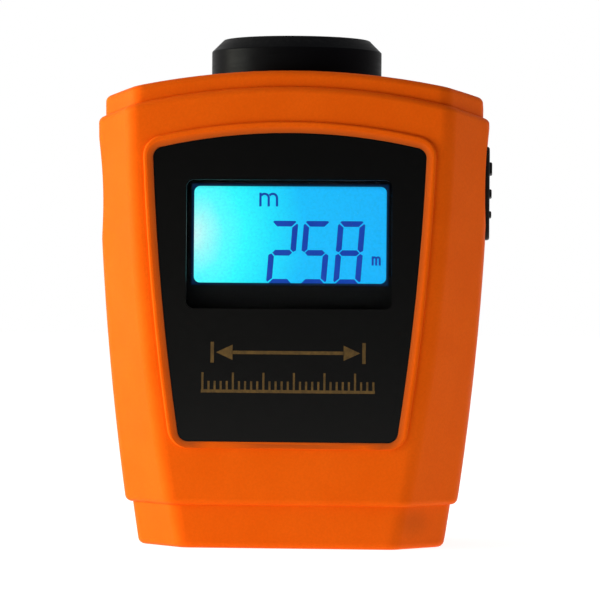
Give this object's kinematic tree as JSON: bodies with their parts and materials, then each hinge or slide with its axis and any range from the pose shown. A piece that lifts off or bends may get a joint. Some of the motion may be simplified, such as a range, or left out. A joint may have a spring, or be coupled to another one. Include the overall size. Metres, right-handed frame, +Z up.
{
  "type": "pocket distance meter",
  "caption": "Pocket ultrasonic distance meter: stepped orange casing, lit display in a black face plate, round horn on top, laser pointer, side push button and hinged battery door.",
  "frame": {"origin": "middle of the flat base", "axes": "+Z up towards the horn, -Y out of the display, +X to the right of a person who looks at the display"},
  "size_m": [0.0657, 0.0366, 0.0845],
  "materials": {
    "orange_plastic": "moulded satin plastic with a fine texture",
    "face_plate": "smooth black printed plate",
    "clear_pane": "clear acrylic",
    "lcd_glass": "lit display glass",
    "light_guide": "milky acrylic",
    "white_plastic": "white moulded plastic",
    "black_plastic": "black moulded plastic",
    "black_horn": "satin black moulded plastic",
    "black_rubber": "matt rubber",
    "board": "green solder mask",
    "chip_black": "moulded chip",
    "capacitor": "sleeved can",
    "bright_metal": "plated",
    "dark_screw": "zinc plated",
    "ferrite": "ferrite and copper winding",
    "aluminium": "bare",
    "brass": "turned",
    "battery_jacket": "printed metal jacket",
    "foam": "closed cell foam",
    "red_lead": "insulated wire",
    "black_lead": "insulated wire",
    "fine_leads": "insulated wire",
    "grey_plunger": "moulded plunger"
  },
  "bodies": {
    "casing": {"front_shell": "orange_plastic", "rear_shell": "orange_plastic", "face_plate": "face_plate", "display_window": "clear_pane", "laser_window": "clear_pane", "lcd_glass": "lcd_glass", "light_guide": "light_guide", "backlight_lamp": "white_plastic", "lcd_holder": "black_plastic", "battery_clip": "black_plastic", "switch_body": "black_plastic", "buzzer": "black_plastic", "horn": "black_horn", "transducer_sleeve": "black_rubber", "contact_strip": "black_rubber", "main_board": "board", "board_chips": "chip_black", "board_capacitors": "capacitor", "clock_crystal": "bright_metal", "battery_terminals": "bright_metal", "clip_contacts": "bright_metal", "transducer_mesh": "bright_metal", "casing_screws": "dark_screw", "board_screws": "dark_screw", "pulse_transformer": "ferrite", "transducer_can": "aluminium", "transducer_cone": "aluminium", "laser_module": "brass", "battery_case": "battery_jacket", "battery_pad": "foam", "battery_lead_red": "red_lead", "battery_lead_black": "black_lead", "transducer_leads": "fine_leads", "laser_leads": "fine_leads"},
    "battery_door": {"battery_door": "orange_plastic"},
    "push_button": {"side_button": "black_rubber", "switch_plunger": "grey_plunger"}
  },
  "joints": [
    {"name": "button_press", "type": "slide", "parent": "casing", "child": "push_button", "axis": [-1, 0, 0], "range_m": [0, 0.0008], "stiffness_N_per_m": 900, "springref_m": -0.0006},
    {"name": "door_swing", "type": "hinge", "parent": "casing", "child": "battery_door", "pos_m": [0, 0.017, 0.0094], "axis": [-1, 0, 0], "range_deg": [0, 95]}
  ]
}
